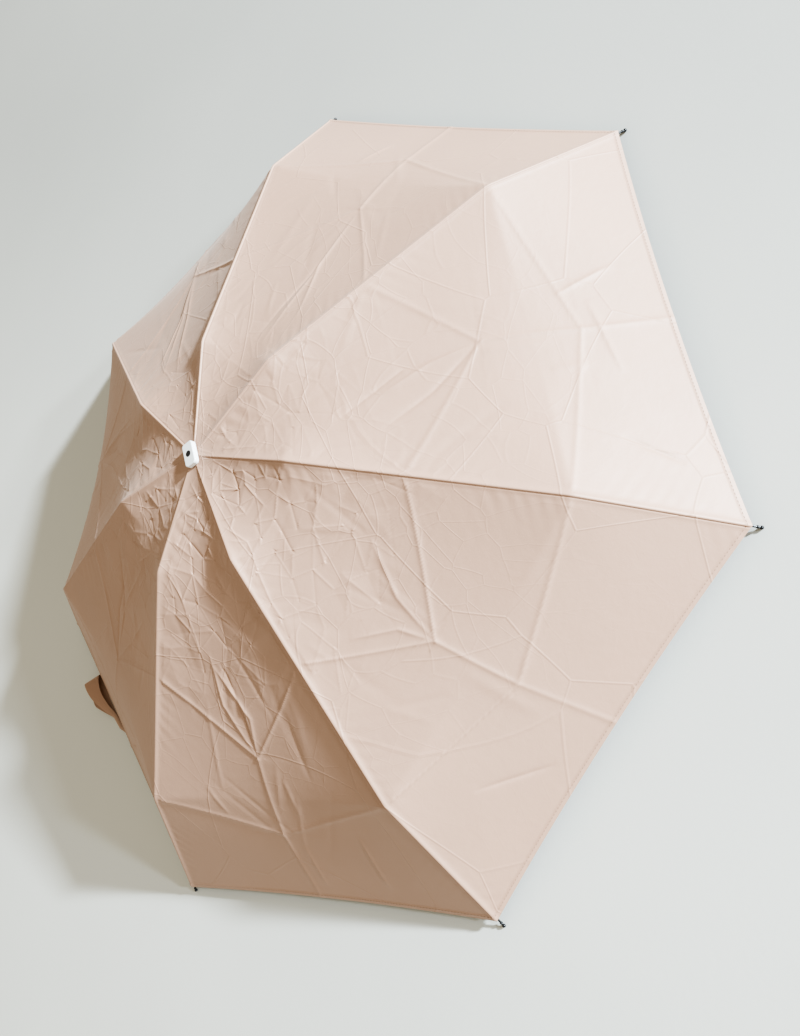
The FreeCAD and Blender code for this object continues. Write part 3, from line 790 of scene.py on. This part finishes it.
def make_cap_dot():
    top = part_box("top_cap")[1].z
    rings = ((0.0, DOT_RISE), (0.7, DOT_RISE), (0.93, DOT_RISE * 0.8), (1.0, 0.0),
             (1.0, -DOT_RISE))
    count = 40
    points, faces = [], []
    for share, rise in rings:
        for i in range(count):
            turn = 2 * math.pi * i / count
            radius = DOT_RADIUS * max(share, 0.01)
            points.append((radius * math.cos(turn), radius * math.sin(turn), top + rise))
    for ring in range(len(rings) - 1):
        for i in range(count):
            j = (i + 1) % count
            faces.append((ring * count + i, (ring + 1) * count + i,
                          (ring + 1) * count + j, ring * count + j))
    faces.append(tuple(range(count)))
    mesh = bpy.data.meshes.new("cap_dot")
    mesh.from_pydata(points, [], faces)
    mesh.polygons.foreach_set("use_smooth", [True] * len(mesh.polygons))
    mesh.materials.append(FINISH["outer_rib"])
    piece = bpy.data.objects.new("cap_dot", mesh)
    bpy.context.scene.collection.objects.link(piece)
    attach(piece, "crown")


# ---- floor, light and camera --------------------------------------------------------------------
CAMERA_PLACE = (-0.107, -0.7155, 0.745)
CAMERA_TURN = (12.95, 38.32, -77.86)
LENS = 34.2
LIGHTS = (
    # name, direction and height in degrees, distance, size, watts
    ("key_low", -75, 19.5, 6.0, 0.35, 140),
    ("key_right", -57, 19.5, 6.0, 0.35, 810),
)
KEY_COLOUR = (0.78, 0.89, 0.985)
FILL_COLOUR = (1.0, 0.92, 0.76)
FILL_STRENGTH = 0.47


def make_floor():
    size = 6.0
    mesh = bpy.data.meshes.new("floor")
    mesh.from_pydata([(-size, -size, 0), (size, -size, 0), (size, size, 0), (-size, size, 0)], [],
                     [(0, 1, 2, 3)])
    mesh.materials.append(pale_floor())
    floor = bpy.data.objects.new("floor", mesh)
    bpy.context.scene.collection.objects.link(floor)


def add_area_light(name, place, target, size, watts, colour):
    data = bpy.data.lights.new(name, "AREA")
    data.energy = watts
    data.size = size
    data.color = colour
    light = bpy.data.objects.new(name, data)
    light.location = place
    light.rotation_euler = (Vector(target) - Vector(place)).to_track_quat("-Z", "Y").to_euler()
    bpy.context.scene.collection.objects.link(light)


def make_lights():
    for name, turn, height, distance, size, watts in LIGHTS:
        turn, height = math.radians(turn), math.radians(height)
        place = (distance * math.cos(height) * math.cos(turn),
                 distance * math.cos(height) * math.sin(turn), distance * math.sin(height))
        add_area_light(name, place, (0, 0, 0.1), size, watts, KEY_COLOUR)
    world = bpy.data.worlds.new("studio")
    world.use_nodes = True
    background = world.node_tree.nodes["Background"]
    background.inputs["Color"].default_value = (*FILL_COLOUR, 1)
    background.inputs["Strength"].default_value = FILL_STRENGTH
    bpy.context.scene.world = world


def make_camera():
    data = bpy.data.cameras.new("camera")
    data.lens = LENS
    data.sensor_width = 36
    camera = bpy.data.objects.new("camera", data)
    camera.location = CAMERA_PLACE
    camera.rotation_euler = Euler([math.radians(a) for a in CAMERA_TURN])
    bpy.context.scene.collection.objects.link(camera)
    bpy.context.scene.camera = camera


make_camera()
make_lights()
make_floor()
finish_cad_nodes()
canopy_points, canopy_normals = make_canopy()
make_hem_stitches(canopy_points, canopy_normals)
make_closing_strap()
make_cap_dot()
bpy.context.scene.view_settings.view_transform = "AgX"
bpy.context.scene.view_settings.look = "AgX - Very High Contrast"
bpy.context.scene.view_settings.exposure = 0.05
